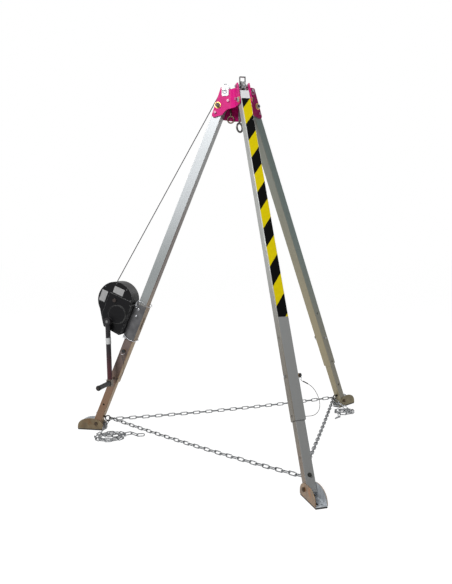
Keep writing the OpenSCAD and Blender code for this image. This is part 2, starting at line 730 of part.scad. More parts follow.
module case_screws()
    color("silver")
    at_winch() {
        for (a = case_screw_angles) translate((case_r - 11) * [cos(a), 0, sin(a)])
            bar_y(4, case_front, case_front + 3);
        for (p = foot_screws) translate([0, p.y, p.x]) {
            bar_x(screw_r, -case_in - foot_plate / 2, -case_in + case_wall + 2);
            bar_x(screw_r * 1.6, -case_in + case_wall, -case_in + case_wall + 3);
        }
    }
screw_r = 4;
foot_screws = [for (z = [-40, -120], y = [-20, 14]) [z, y]];

drum_axle_d = 24;
module drum_axle()
    color("silver")
    at_winch() union() {
        bar_y(drum_axle_d / 2, -case_back - 6, case_front + 12);
        bar_y(drum_axle_d * 0.75, -case_back - 8, -case_back);
    }
core_r = 50;
module drum()
    color("dimgray")
    at_winch()
    difference() {
        union() {
            bar_y(core_r, -drum_w / 2, drum_w / 2);
            for (y = [-drum_w / 2 - 4, drum_w / 2]) bar_y(flange_r, y, y + 4);
        }
        bar_y(drum_axle_d / 2 + fit, -drum_w, drum_w);
    }
module rope_winding()
    color("darkslategray")
    at_winch()
    difference() {
        bar_y(rope_wind_r - rope_d / 2 - clear, -drum_w / 2, drum_w / 2);
        bar_y(core_r, -drum_w / 2 - 1, drum_w / 2 + 1);
    }
module drum_gear()
    color("gray")
    at_winch()
    difference() {
        gear(gear_teeth, mesh_angle, gear_y, gear_y + gear_w);
        bar_y(drum_axle_d / 2 + fit, 0, case_front);
    }
shaft_r = 9;
hub_y = case_front + 13;
hub_len = 34;
module crank_pinion()
    color("silver")
    at_winch() translate([crank_x, 0, crank_z]) union() {
        gear(pinion_teeth, mesh_angle + 180 + 180 / pinion_teeth, gear_y, gear_y + gear_w);
        bar_y(shaft_r, -case_back - 4, hub_y + hub_len);
    }
module at_crank()
    at_winch() translate([crank_x, hub_y + hub_len / 2, crank_z])
        rotate([0, lean, 0]) children();
tip_h = 46;
tip_w = 36;
crank_hub_r = 24;
grip_pin_d = 10;
module crank_arm()
    color([0.15, 0.15, 0.16])
    at_crank()
    difference() {
        union() {
            bar_y(crank_hub_r, -hub_len / 2 + 0.5, hub_len / 2);
            translate([0, 0, -crank_len + tip_h / 2]) cylinder(h = crank_len - tip_h / 2, d = crank_d);
            translate([-tip_w / 2, -crank_d / 2, -crank_len - tip_h / 2]) cube([tip_w, crank_d, tip_h]);
        }
        bar_y(shaft_r + 0.02, -hub_len, hub_len);
        translate([0, 0, -crank_len]) bar_y(grip_pin_d / 2 + fit, -crank_d, crank_d);
    }
collar_down = 126;
collar_len = 40;
module crank_collar()
    color("white")
    at_crank() translate([0, 0, -collar_down - collar_len / 2])
    difference() {
        cylinder(h = collar_len, d = crank_d + 3);
        translate([0, 0, -1]) cylinder(h = collar_len + 2, d = crank_d + 0.1);
    }
module grip_pin()
    color("silver")
    at_crank() translate([0, 0, -crank_len]) union() {
        bar_y(grip_pin_d / 2, -crank_d / 2 - 4, crank_d / 2 + grip_len + 4);
        bar_y(grip_pin_d * 0.8, -crank_d / 2 - 5, -crank_d / 2);
        bar_y(grip_pin_d * 0.8, crank_d / 2 + grip_len + 1, crank_d / 2 + grip_len + 5);
    }
module crank_grip()
    color([0.07, 0.07, 0.07])
    at_crank() translate([0, crank_d / 2 + 0.5, -crank_len])
    difference() {
        union() {
            bar_y(grip_d / 2, 0, grip_len);
            bar_y(grip_d / 2 + 2, 0, 5);
            bar_y(grip_d / 2 + 2, grip_len - 6, grip_len);
        }
        bar_y(grip_pin_d / 2 + fit, -1, grip_len + 1);
    }

bracket_in = outer_w / 2 + clear;
bracket_mid = -84;
bracket_pin_r = 5;
bracket_pin_x = outer_w / 2 + foot_plate / 2 - 1 - winch_out;
bracket_pin_z = bracket_len / 2 - 12;
slot_half = 36;
slot_r = 7;
module at_bracket() at_winch() translate([0, 0, bracket_mid]) children();
module bracket_pin_holes()
    for (z = [-1, 1]) translate([bracket_pin_x, 0, z * bracket_pin_z])
        bar_y(bracket_pin_r + fit, -2 * outer_w, 2 * outer_w);
// Channel that clasps the leg from the inside, open outwards, with a slot in its web
module winch_bracket()
    color("darkgoldenrod")
    at_bracket()
    difference() {
        translate([-winch_out - bracket_in - bracket_t, -bracket_in - bracket_t, -bracket_len / 2])
            cube([2 * bracket_in + bracket_t + foot_plate - 2 * clear,
                  2 * bracket_in + 2 * bracket_t, bracket_len]);
        translate([-winch_out - bracket_in, -bracket_in, -bracket_len])
            cube([4 * bracket_in, 2 * bracket_in, 2 * bracket_len]);
        for (z = [-1, 1]) translate([-winch_out, 0, z * slot_half]) bar_x(slot_r, -3 * bracket_in, 0);
        translate([-winch_out - 2 * bracket_in, -slot_r, -slot_half])
            cube([2 * bracket_in, 2 * slot_r, 2 * slot_half]);
        bracket_pin_holes();
    }
// Mounting plate of the winch, held in the channel by two pull pins
module winch_foot()
    color("dimgray")
    at_bracket()
    difference() {
        translate([-case_in - foot_plate + clear, -bracket_in + 2, -bracket_len / 2])
            cube([foot_plate - clear, 2 * bracket_in - 4, bracket_len]);
        bracket_pin_holes();
        for (p = foot_screws) translate([0, p.y, p.x - bracket_mid])
            bar_x(screw_r + fit, -case_in - foot_plate / 2 - 1, 0);
    }
module bracket_pins()
    color("gainsboro")
    at_bracket()
    for (z = [-1, 1]) translate([bracket_pin_x, 0, z * bracket_pin_z])
        rotate([0, lean, 0]) pull_pin(2 * bracket_pin_r, bracket_in + bracket_t, 1, 9);

// Blank rating plates on the housing
module rating_plates()
    color("lightgray")
    at_winch() {
        plate_y(case_front, case_front + 0.8) translate([case_r - 35, -4]) square([42, 74], center = true);
        plate_y(case_front, case_front + 0.8) translate([-2, case_r - 54]) square([72, 44], center = true);
    }

// Wire rope from the drum over the left sheave to its eye, in the plane of the left leg

drum_at = [pivot_r + (winch_out - pivot_off) * cos(lean) + winch_below * sin(lean),
           (winch_out - pivot_off) * sin(lean) - winch_below * cos(lean)];
sheave_at = [axle_r, axle_up];
rope_v = sheave_at - drum_at;
rope_n = atan2(rope_v.y, rope_v.x) - acos((rope_wind_r - rope_sheave_r) / norm(rope_v));
// The rope's lean from the leg's own line
rope_lean = lean - rope_n;
rope_end_z = -40;
rope_path = concat(
    [drum_at + rope_wind_r * [cos(rope_n), sin(rope_n)]],
    arc(sheave_at, rope_sheave_r, rope_n, 180, 14),
    [[axle_r - rope_sheave_r, rope_end_z]]);
module wire_rope()
    color([0.2, 0.2, 0.2])
    at_arm(LEFT) swept([for (p = rope_path) [p.x, 0, p.y]], rope_d / 2);
thimble_r = 20;
sleeve_low = 26;
module rope_eye()
    color("silver")
    at_arm(LEFT) translate([axle_r - rope_sheave_r, 0, rope_end_z]) union() {
        difference() {
            translate([0, 0, -sleeve_low]) cylinder(h = sleeve_low + 14, r = rope_d * 1.05);
            cylinder(h = 20, r = rope_d / 2 + fit);
        }
        translate([0, 0, -sleeve_low - thimble_r]) ring_y(thimble_r, rope_d * 1.5);
    }

head_frame();
pivot_bolts();
stop_bolts();
head_nuts();
pivot_washers();
sheave_axles();
ear_pin();
rope_keepers();
axle_spacers();
guide_plates();
lifting_eye();
front_sheave();
left_sheave();
wire_rope();
rope_eye();
for (k = [0:2]) {
    outer_tube(k);
    inner_tube(k);
    chain_eye(k);
    lock_pin(k);
    lanyard(k);
    foot(k);
    foot_pad(k);
    foot_bolt(k);
}
chain_run(0);  // right_chain
chain_run(1);  // rear_chain
chain_run(2);  // left_chain
chain_spare_left();  // spare_chain_left
chain_spare_right();  // spare_chain_right
winch_rear_case();
winch_front_case();
winch_foot();
winch_bracket();
bracket_pins();
case_screws();
rating_plates();
drum_axle();
drum();
rope_winding();
drum_gear();
crank_pinion();
crank_arm();
crank_collar();
crank_grip();
grip_pin();
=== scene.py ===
import json
import math

import bmesh
import bpy
from mathutils import Matrix, Vector


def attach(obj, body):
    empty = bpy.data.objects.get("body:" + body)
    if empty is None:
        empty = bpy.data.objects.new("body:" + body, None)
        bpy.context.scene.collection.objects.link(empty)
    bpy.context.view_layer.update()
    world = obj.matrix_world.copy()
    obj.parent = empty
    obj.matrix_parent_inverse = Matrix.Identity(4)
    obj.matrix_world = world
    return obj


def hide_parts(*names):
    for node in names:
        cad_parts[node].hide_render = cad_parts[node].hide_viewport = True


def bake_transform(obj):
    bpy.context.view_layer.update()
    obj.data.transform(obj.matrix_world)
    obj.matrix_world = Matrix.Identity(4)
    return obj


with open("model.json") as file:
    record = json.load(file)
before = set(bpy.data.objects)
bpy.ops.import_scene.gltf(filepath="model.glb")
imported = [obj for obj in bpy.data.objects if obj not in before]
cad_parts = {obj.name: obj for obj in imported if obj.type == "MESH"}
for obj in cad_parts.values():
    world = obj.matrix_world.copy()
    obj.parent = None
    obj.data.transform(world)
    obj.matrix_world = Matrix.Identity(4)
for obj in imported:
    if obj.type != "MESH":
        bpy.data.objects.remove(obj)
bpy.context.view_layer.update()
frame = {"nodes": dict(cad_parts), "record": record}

# Studio: a white floor that runs out into a white background, a broad soft lamp from the
# upper left with a weaker one behind on the right, and the camera where the photograph was
# taken. Gloss sees the room darker on the side of the camera than behind the object.
scene = bpy.context.scene
scene.view_settings.view_transform = "Standard"


def white_ground(tree, output, lit, shown):
    """Lights the object with one shader, and shows another to the camera, to gloss and through glass."""
    path = tree.nodes.new("ShaderNodeLightPath")
    seen = path.outputs["Is Camera Ray"]
    for ray in ("Is Glossy Ray", "Is Transmission Ray"):
        either = tree.nodes.new("ShaderNodeMath")
        either.operation = "MAXIMUM"
        tree.links.new(seen, either.inputs[0])
        tree.links.new(path.outputs[ray], either.inputs[1])
        seen = either.outputs[0]
    mix = tree.nodes.new("ShaderNodeMixShader")
    tree.links.new(seen, mix.inputs["Fac"])
    tree.links.new(lit.outputs[0], mix.inputs[1])
    tree.links.new(shown.outputs[0], mix.inputs[2])
    tree.links.new(mix.outputs[0], output.inputs["Surface"])


world = bpy.data.worlds.new("white_room")
scene.world = world
world.use_nodes = True
sky = world.node_tree
lit_sky = sky.nodes["Background"]
lit_sky.inputs["Color"].default_value = (1, 1, 1, 1)
lit_sky.inputs["Strength"].default_value = 0.15
shown_sky = sky.nodes.new("ShaderNodeBackground")
shown_sky.inputs["Color"].default_value = (1, 1, 1, 1)
sky_way = sky.nodes.new("ShaderNodeTexCoord")
sky_side = sky.nodes.new("ShaderNodeVectorMath")
sky_side.operation = "DOT_PRODUCT"
sky_side.inputs[1].default_value = (0, 0.6, 0.8)
sky_room = sky.nodes.new("ShaderNodeMapRange")
sky_room.inputs["From Min"].default_value = -0.5
sky_room.inputs["From Max"].default_value = 0.5
sky_room.inputs["To Min"].default_value = 0.25
sky_path = sky.nodes.new("ShaderNodeLightPath")
sky_white = sky.nodes.new("ShaderNodeMath")
sky_white.operation = "MAXIMUM"
sky.links.new(sky_way.outputs["Generated"], sky_side.inputs[0])
sky.links.new(sky_side.outputs["Value"], sky_room.inputs["Value"])
sky.links.new(sky_room.outputs["Result"], sky_white.inputs[0])
sky.links.new(sky_path.outputs["Is Camera Ray"], sky_white.inputs[1])
sky.links.new(sky_white.outputs[0], shown_sky.inputs["Strength"])
white_ground(sky, sky.nodes["World Output"], lit_sky, shown_sky)

FLOOR_HALF, FLOOR_BACK, FLOOR_DROP = 40, 34, 0.0004
floor_form = bmesh.new()
bmesh.ops.create_grid(floor_form, x_segments=1, y_segments=1, size=FLOOR_HALF)
bmesh.ops.translate(floor_form, verts=floor_form.verts, vec=(0, FLOOR_BACK, -FLOOR_DROP))
floor_mesh = bpy.data.meshes.new("floor")
floor_form.to_mesh(floor_mesh)
floor_form.free()
floor = bpy.data.objects.new("floor", floor_mesh)
scene.collection.objects.link(floor)
floor_paint = bpy.data.materials.new("white_floor")
floor_paint.use_nodes = True
floor_tree = floor_paint.node_tree
floor_matt = floor_tree.nodes["Principled BSDF"]
floor_matt.inputs["Base Color"].default_value = (0.45, 0.45, 0.45, 1)
floor_matt.inputs["Roughness"].default_value = 0.9
floor_glow = floor_tree.nodes.new("ShaderNodeEmission")
floor_glow.inputs["Color"].default_value = (1, 1, 1, 1)
floor_glow.inputs["Strength"].default_value = 1.46
floor_shadow = floor_tree.nodes.new("ShaderNodeMixShader")
floor_shadow.inputs["Fac"].default_value = 0.65
floor_tree.links.new(floor_matt.outputs[0], floor_shadow.inputs[1])
floor_tree.links.new(floor_glow.outputs[0], floor_shadow.inputs[2])
white_ground(floor_tree, floor_tree.nodes["Material Output"], floor_matt, floor_shadow)
floor_mesh.materials.append(floor_paint)

for lamp_name, place, aim, width, power in (
        ("key_lamp", (-4.15, -3.2, 5.15), (0, 0, 1.0), 2.2, 345),
        ("rear_lamp", (4.4, 3.0, 3.6), (0, 0, 1.0), 2.2, 60)):
    lamp = bpy.data.lights.new(lamp_name, "AREA")
    lamp.size = width
    lamp.energy = power
    lamp_object = bpy.data.objects.new(lamp_name, lamp)
    lamp_object.location = place
    lamp_object.rotation_euler = (Vector(aim) - Vector(place)).to_track_quat("-Z", "Y").to_euler()
    scene.collection.objects.link(lamp_object)

CAMERA_AT = Vector((-1.1027, -3.7106, 1.171))
FOCAL_PIXELS, PHOTO_HEIGHT, SENSOR = 624.8, 584, 36
heading, pitch, roll = math.radians(14.95), math.radians(3.72), math.radians(-1.42)
forward = Vector((math.sin(heading) * math.cos(pitch), math.cos(heading) * math.cos(pitch), -math.sin(pitch)))
level = Vector((math.cos(heading), -math.sin(heading), 0))
upward = level.cross(forward)
right = level * math.cos(roll) + upward * math.sin(roll)
top = upward * math.cos(roll) - level * math.sin(roll)
lens = bpy.data.cameras.new("photo_camera")
lens.sensor_width = SENSOR
lens.lens = SENSOR * FOCAL_PIXELS / PHOTO_HEIGHT
camera = bpy.data.objects.new("photo_camera", lens)
camera.matrix_world = Matrix.Translation(CAMERA_AT) @ Matrix((right, top, -forward)).transposed().to_4x4()
scene.collection.objects.link(camera)
scene.camera = camera

# Wire rope: dark stranded steel, 6 mm thick, taut from the winch drum over the left sheave
# and down to its thimble. Six strands are laid round each other, one turn in 45 mm.
LEAN = math.radians(24.5)
AZIMUTH = {"front": math.radians(270), "right": math.radians(30), "left": math.radians(150)}
PIVOT_R, PIVOT_Z, PIVOT_OFF = 0.124, 2.0595049, 0.015


def arm_frame(leg):
    """A head arm's frame: x outwards, z up, from the axis at the pivots' height."""
    return Matrix.Rotation(AZIMUTH[leg], 4, "Z") @ Matrix.Translation((0, 0, PIVOT_Z))


def show(name, form, paints, body):
    """Makes a finished form an object that rides on a body."""
    mesh = bpy.data.meshes.new(name)
    form.to_mesh(mesh)
    form.free()
    for paint in paints:
        mesh.materials.append(paint)
    piece = bpy.data.objects.new(name, mesh)
    scene.collection.objects.link(piece)
    if body:
        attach(piece, body)
    return piece


def along(route, spacing):
    """Points at even spacing on a smooth curve through the route."""
    dense = []
    for i in range(len(route) - 1):
        before, a = route[max(i - 1, 0)], route[i]
        b, after = route[i + 1], route[min(i + 2, len(route) - 1)]
        for j in range(24):
            t = j / 24
            dense.append(0.5 * (2 * a + (b - before) * t + (2 * before - 5 * a + 4 * b - after) * t * t
                                + (3 * a - before - 3 * b + after) * t ** 3))
    dense.append(route[-1])
    total = sum((q - p).length for p, q in zip(dense, dense[1:]))
    count = max(2, round(total / spacing))
    points, walked, i = [dense[0]], 0.0, 0
    for n in range(1, count):
        goal = total * n / count
        while walked + (dense[i + 1] - dense[i]).length < goal:
            walked += (dense[i + 1] - dense[i]).length
            i += 1
        points.append(dense[i].lerp(dense[i + 1], (goal - walked) / (dense[i + 1] - dense[i]).length))
    return points + [dense[-1]]


def laid_rope(points, radius, strands, lay):
    """A rope of round strands that turn about its middle line, one turn in each lay length."""
    form = bmesh.new()
    side = (points[1] - points[0]).orthogonal().normalized()
    rings, turned = [], 0.0
    sides = strands * 4
    for i, point in enumerate(points):
        ahead = (points[min(i + 1, len(points) - 1)] - points[max(i - 1, 0)]).normalized()
        side = (side - ahead * side.dot(ahead)).normalized()
        over = ahead.cross(side)
        if i:
            turned += (point - points[i - 1]).length / lay * math.tau
        ring = []
        for j in range(sides):
            angle = math.tau * j / sides
            reach = radius * (0.86 + 0.14 * abs(math.cos(strands * angle / 2)))
            ring.append(form.verts.new(point + reach * (math.cos(angle + turned) * side
                                                        + math.sin(angle + turned) * over)))
        rings.append(ring)
    for low, high in zip(rings, rings[1:]):
        for j in range(sides):
            form.faces.new((low[j], low[(j + 1) % sides], high[(j + 1) % sides], high[j]))
    form.faces.new(rings[0][::-1])
    form.faces.new(rings[-1])
    for face in form.faces:
        face.smooth = len(face.verts) == 4
    return form


def node_group(name, inputs, outputs):
    """An empty shader group with named sockets."""
    group = bpy.data.node_groups.new(name, "ShaderNodeTree")
    for label, kind, value in inputs:
        socket = group.interface.new_socket(label, in_out="INPUT", socket_type=kind)
        if value is not None:
            socket.default_value = value
    for label, kind in outputs:
        group.interface.new_socket(label, in_out="OUTPUT", socket_type=kind)
    return group, group.nodes.new("NodeGroupInput"), group.nodes.new("NodeGroupOutput")


COLOUR, NUMBER, VECTOR = "NodeSocketColor", "NodeSocketFloat", "NodeSocketVector"


def noise_node(tree, vector, scale, detail, factor=1.0):
    """Noise at a scale that comes from a socket, times a factor."""
    noise = tree.nodes.new("ShaderNodeTexNoise")
    noise.inputs["Detail"].default_value = detail
    times = tree.nodes.new("ShaderNodeMath")
    times.operation = "MULTIPLY"
    times.inputs[1].default_value = factor
    tree.links.new(scale, times.inputs[0])
    tree.links.new(times.outputs[0], noise.inputs["Scale"])
    tree.links.new(vector, noise.inputs["Vector"])
    return noise.outputs["Fac"]


def spread(tree, value, low, high):
    """Stretches a value from the range low to high to 0 to 1."""
    ramp = tree.nodes.new("ShaderNodeMapRange")
    ramp.inputs["From Min"].default_value = low
    ramp.inputs["From Max"].default_value = high
    tree.links.new(value, ramp.inputs["Value"])
    return ramp.outputs["Result"]


def blend_colours(tree, factor, a, b):
    """Mixes two colours; each is a socket."""
    mix = tree.nodes.new("ShaderNodeMix")
    mix.data_type = "RGBA"
    tree.links.new(factor, mix.inputs["Factor"])
    tree.links.new(a, mix.inputs[6])
    tree.links.new(b, mix.inputs[7])
    return mix.outputs[2]


grain, grain_in, grain_out = node_group(
    "surface_grain",
    [("Vector", VECTOR, None), ("Scale", NUMBER, 40.0), ("Light", COLOUR, (1, 1, 1, 1)),
     ("Dark", COLOUR, (0, 0, 0, 1)), ("Smooth", NUMBER, 0.3), ("Rough", NUMBER, 0.5)],
    [("Colour", COLOUR), ("Roughness", NUMBER), ("Height", NUMBER)])
grain_wide = noise_node(grain, grain_in.outputs["Vector"], grain_in.outputs["Scale"], 5)
grain_fine = noise_node(grain, grain_in.outputs["Vector"], grain_in.outputs["Scale"], 3, 9.0)
grain.links.new(blend_colours(grain, spread(grain, grain_wide, 0.3, 0.7), grain_in.outputs["Dark"],
                              grain_in.outputs["Light"]), grain_out.inputs["Colour"])
grain_rough = grain.nodes.new("ShaderNodeMapRange")
grain_rough.inputs["From Min"].default_value = 0.3
grain_rough.inputs["From Max"].default_value = 0.7
grain.links.new(grain_fine, grain_rough.inputs["Value"])
grain.links.new(grain_in.outputs["Smooth"], grain_rough.inputs["To Min"])
grain.links.new(grain_in.outputs["Rough"], grain_rough.inputs["To Max"])
grain.links.new(grain_rough.outputs["Result"], grain_out.inputs["Roughness"])
grain.links.new(grain_fine, grain_out.inputs["Height"])


class Finish:
    """A material of one Principled shader whose colour, roughness and bump vary over the surface."""

    def __init__(self, name, light, dark, metallic, smooth, rough, scale=40, bump=0.15, place=None, stretch=1):
        self.paint = bpy.data.materials.new(name)
        self.paint.use_nodes = True
        self.tree = self.paint.node_tree
        self.shader = self.tree.nodes["Principled BSDF"]
        self.shader.inputs["Metallic"].default_value = metallic
        coords = self.tree.nodes.new("ShaderNodeTexCoord")
        self.object = coords.outputs["Object"]
        turn = self.tree.nodes.new("ShaderNodeMapping")
        turn.vector_type = "TEXTURE"
        if place:
            turn.inputs["Location"].default_value = place.to_translation()
            turn.inputs["Rotation"].default_value = place.to_euler()
        turn.inputs["Scale"].default_value = (1, 1, stretch)
        self.tree.links.new(self.object, turn.inputs["Vector"])
        self.vector = turn.outputs["Vector"]
        self.grain = self.tree.nodes.new("ShaderNodeGroup")
        self.grain.node_tree = grain
        self.tree.links.new(self.vector, self.grain.inputs["Vector"])
        self.grain.inputs["Scale"].default_value = scale
        self.grain.inputs["Light"].default_value = (*light, 1)
        self.grain.inputs["Dark"].default_value = (*dark, 1)
        self.grain.inputs["Smooth"].default_value = smooth
        self.grain.inputs["Rough"].default_value = rough
        self.dents = self.tree.nodes.new("ShaderNodeBump")
        self.dents.inputs["Strength"].default_value = bump
        self.dents.inputs["Distance"].default_value = 0.0006
        self.tree.links.new(self.grain.outputs["Roughness"], self.shader.inputs["Roughness"])
        self.tree.links.new(self.grain.outputs["Height"], self.dents.inputs["Height"])
        self.tree.links.new(self.dents.outputs["Normal"], self.shader.inputs["Normal"])
        self.colour(self.grain.outputs["Colour"])

    def colour(self, socket):
        self.tree.links.new(socket, self.shader.inputs["Base Color"])
        self.shown = socket

    def plain(self, red, green, blue):
        tone = self.tree.nodes.new("ShaderNodeRGB")
        tone.outputs[0].default_value = (red, green, blue, 1)
        return tone.outputs[0]


DRUM_OUT, WINCH_DOWN = 0.172, 1.375
AXLE_R, AXLE_UP, ROPE_ON_SHEAVE, ROPE_ON_DRUM = 0.080, 0.090, 0.0263, 0.0715
ROPE_END_DOWN, ROPE_R, ROPE_LAY = 0.04, 0.003, 0.045
drum_at = Vector((PIVOT_R + (DRUM_OUT - PIVOT_OFF) * math.cos(LEAN) + WINCH_DOWN * math.sin(LEAN), 0,
                  (DRUM_OUT - PIVOT_OFF) * math.sin(LEAN) - WINCH_DOWN * math.cos(LEAN)))
sheave_at = Vector((AXLE_R, 0, AXLE_UP))
reach = sheave_at - drum_at
rope_square = math.atan2(reach.z, reach.x) - math.acos((ROPE_ON_DRUM - ROPE_ON_SHEAVE) / reach.length)
rope_route = [drum_at + ROPE_ON_DRUM * Vector((math.cos(rope_square), 0, math.sin(rope_square)))]
first_touch = sheave_at + ROPE_ON_SHEAVE * Vector((math.cos(rope_square), 0, math.sin(rope_square)))
rope_route += [rope_route[0].lerp(first_touch, i / 12) for i in range(1, 12)]
for i in range(25):
    bend = rope_square + (math.pi - rope_square) * i / 24
    rope_route.append(sheave_at + ROPE_ON_SHEAVE * Vector((math.cos(bend), 0, math.sin(bend))))
rope_route += [Vector((AXLE_R - ROPE_ON_SHEAVE, 0, AXLE_UP * (1 - i / 4) - ROPE_END_DOWN * i / 4))
               for i in range(1, 5)]
rope_route = [arm_frame("left") @ point for point in rope_route]
rope_points = along(rope_route, 0.003)
rope_steel = Finish("dark_wire_rope", (0.10, 0.10, 0.10), (0.03, 0.03, 0.03), 0.85, 0.35, 0.55, scale=260)
rope = show("laid_wire_rope", laid_rope(rope_points, ROPE_R, 6, ROPE_LAY), [rope_steel.paint], None)
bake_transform(rope)
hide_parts("wire_rope")

# Thimble and ferrule at the rope's end: plated steel, worn and stained brown, the ferrule
# pressed on the rope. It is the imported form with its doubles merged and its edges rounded.
BODY = {node: body for body, held in frame["record"]["behaviour"]["bodies"].items() for node in held}


def smooth_shaded(form, crease):
    """Shades a form smooth, except where two faces meet at more than the crease angle."""
    for face in form.faces:
        face.smooth = True
    for edge in form.edges:
        edge.smooth = not edge.is_manifold or edge.calc_face_angle() < math.radians(crease)


def softened(node, width, paints, pick=None, segments=2):
    """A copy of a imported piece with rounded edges, which replaces it and rides where it did."""
    form = bmesh.new()
    form.from_mesh(frame["nodes"][node].data)
    bmesh.ops.remove_doubles(form, verts=form.verts, dist=0.00001)
    bmesh.ops.dissolve_limit(form, angle_limit=math.radians(0.5), use_dissolve_boundaries=False,
                             verts=form.verts, edges=form.edges)
    edge_mark = form.faces.layers.float.new("edge")
    if width:
        corners = [e for e in form.edges if e.is_manifold and e.calc_face_angle() > math.radians(32)]
        rounded = bmesh.ops.bevel(form, geom=corners, offset=width, affect="EDGES", segments=segments,
                                  profile=0.5, material=-1, clamp_overlap=False)
        for face in rounded["faces"]:
            face[edge_mark] = 1
    smooth_shaded(form, 40)
    if pick:
        for face in form.faces:
            face.material_index = pick(face.calc_center_median())
    piece = show(node + "_finished", form, [paint.paint for paint in paints], BODY[node])
    even = piece.modifiers.new("even_shading", "WEIGHTED_NORMAL")
    even.keep_sharp = True
    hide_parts(node)
    return piece


stained_steel = Finish("worn_thimble", (0.17, 0.11, 0.08), (0.06, 0.04, 0.03), 0.9, 0.28, 0.45, scale=110)
thimble = softened("rope_eye", 0.0008, [stained_steel])

# Lanyards: thin grey wire, one on each leg, from the ring of the lock pin to the eyelet at the
# tube's lower end. Each has a black sleeve pressed on near the ring.
lanyard_wire = Finish("lanyard_wire", (0.09, 0.09, 0.09), (0.04, 0.04, 0.04), 0.8, 0.35, 0.5, scale=300)
black_plastic = Finish("black_plastic", (0.020, 0.020, 0.021), (0.010, 0.010, 0.011), 0.0, 0.35, 0.5, scale=150)
PIN_DOWN, LANYARD_R, LANYARD_LAY, SLEEVE_R = 1.663, 0.0015, 0.018, 0.0030
SLEEVE_FROM, SLEEVE_TO = 5, 20
WIDE = ((0, 50, -27), (2, 62, -34), (4, 78, -45), (6, 95, -60), (7, 109, -80), (8, 119, -106),
        (8, 124, -134), (8, 122, -160), (6, 114, -182), (4, 98, -198), (2, 76, -206), (0, 38, -206))
CLOSE = ((0, 50, -27), (12, 56, -38), (34, 62, -62), (50, 58, -100),
         (52, 50, -140), (42, 44, -175), (22, 40, -198), (0, 38, -206))


def leg_frame(leg):
    """A leg's own frame: x outwards, y along its pivot, z up the leg, from the pivot."""
    return (Matrix.Rotation(AZIMUTH[leg], 4, "Z") @ Matrix.Translation((PIVOT_R, 0, PIVOT_Z))
            @ Matrix.Rotation(-LEAN, 4, "Y"))


for leg, route, side in (("front", WIDE, 1), ("right", CLOSE, 1), ("left", CLOSE, -1)):
    at_pin = leg_frame(leg) @ Matrix.Translation((-PIVOT_OFF, 0, -PIN_DOWN))
    wire_points = along([at_pin @ Vector((side * x / 1000, y / 1000, z / 1000)) for x, y, z in route], 0.002)
    wire_form = laid_rope(wire_points, LANYARD_R, 6, LANYARD_LAY)
    wire = show(leg + "_lanyard_wire", wire_form, [lanyard_wire.paint], None)
    sleeve_form = laid_rope(wire_points[SLEEVE_FROM:SLEEVE_TO], SLEEVE_R, 8, 5.0)
    sleeve = show(leg + "_lanyard_sleeve", sleeve_form, [black_plastic.paint], leg + "_pin")
    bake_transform(wire)
    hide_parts(leg + "_lanyard")

# Head: steel plate, two side plates to an arm welded to two discs, in magenta powder coat.
# The coat has a faint orange peel and is rubbed paler along its edges.
edge_wear, wear_in, wear_out = node_group(
    "edge_wear",
    [("Vector", VECTOR, None), ("Colour", COLOUR, (1, 1, 1, 1)), ("Bare", COLOUR, (0.6, 0.6, 0.6, 1)),
     ("Amount", NUMBER, 0.5)],
    [("Colour", COLOUR)])
wear_edge = edge_wear.nodes.new("ShaderNodeAttribute")
wear_edge.attribute_name = "edge"
wear_patch = edge_wear.nodes.new("ShaderNodeTexNoise")
wear_patch.inputs["Scale"].default_value = 140
wear_patch.inputs["Detail"].default_value = 4
edge_wear.links.new(wear_in.outputs["Vector"], wear_patch.inputs["Vector"])
wear_share = edge_wear.nodes.new("ShaderNodeMath")
wear_share.operation = "MULTIPLY"
edge_wear.links.new(spread(edge_wear, wear_patch.outputs["Fac"], 0.42, 0.62), wear_share.inputs[0])
edge_wear.links.new(wear_edge.outputs["Fac"], wear_share.inputs[1])
wear_much = edge_wear.nodes.new("ShaderNodeMath")
wear_much.operation = "MULTIPLY"
edge_wear.links.new(wear_share.outputs[0], wear_much.inputs[0])
edge_wear.links.new(wear_in.outputs["Amount"], wear_much.inputs[1])
edge_wear.links.new(blend_colours(edge_wear, wear_much.outputs[0], wear_in.outputs["Colour"],
                                  wear_in.outputs["Bare"]), wear_out.inputs["Colour"])


def worn(finish, bare, amount):
    """Rubs a finish to another colour along the rounded edges."""
    rub = finish.tree.nodes.new("ShaderNodeGroup")
    rub.node_tree = edge_wear
    rub.inputs["Bare"].default_value = (*bare, 1)
    rub.inputs["Amount"].default_value = amount
    finish.tree.links.new(finish.object, rub.inputs["Vector"])
    finish.tree.links.new(finish.shown, rub.inputs["Colour"])
    finish.colour(rub.outputs["Colour"])
    return finish


magenta = worn(Finish("magenta_coat", (0.76, 0.010, 0.24), (0.62, 0.008, 0.19), 0.0, 0.30, 0.42,
                      scale=35, bump=0.05), (0.78, 0.12, 0.36), 0.45)
magenta.shader.inputs["Coat Weight"].default_value = 0.05
magenta.shader.inputs["Specular IOR Level"].default_value = 0.18
softened("head_frame", 0.0010, [magenta])

# Head fasteners: dark steel pivot bolts with zinc nuts and gold-coloured washers, short screws
# coated with the plates, on which the legs rest, and plain spacers on the sheave pins.
zinc = Finish("zinc_plate", (0.55, 0.56, 0.58), (0.36, 0.37, 0.39), 1.0, 0.22, 0.42, scale=120)
gold = worn(Finish("gold_passivate", (0.86, 0.60, 0.22), (0.66, 0.42, 0.12), 1.0, 0.25, 0.42, scale=90),
            (0.9, 0.8, 0.6), 0.5)
black_oxide = Finish("black_oxide", (0.075, 0.060, 0.055), (0.030, 0.024, 0.022), 0.7, 0.28, 0.42, scale=90)
softened("pivot_bolts", 0.0006, [black_oxide])
painted_screw = Finish("painted_screw", (0.62, 0.34, 0.45), (0.46, 0.16, 0.28), 0.3, 0.28, 0.42, scale=120)
softened("stop_bolts", 0.0006, [painted_screw])
for node in ("head_nuts", "axle_spacers"):
    softened(node, 0.0006, [zinc])
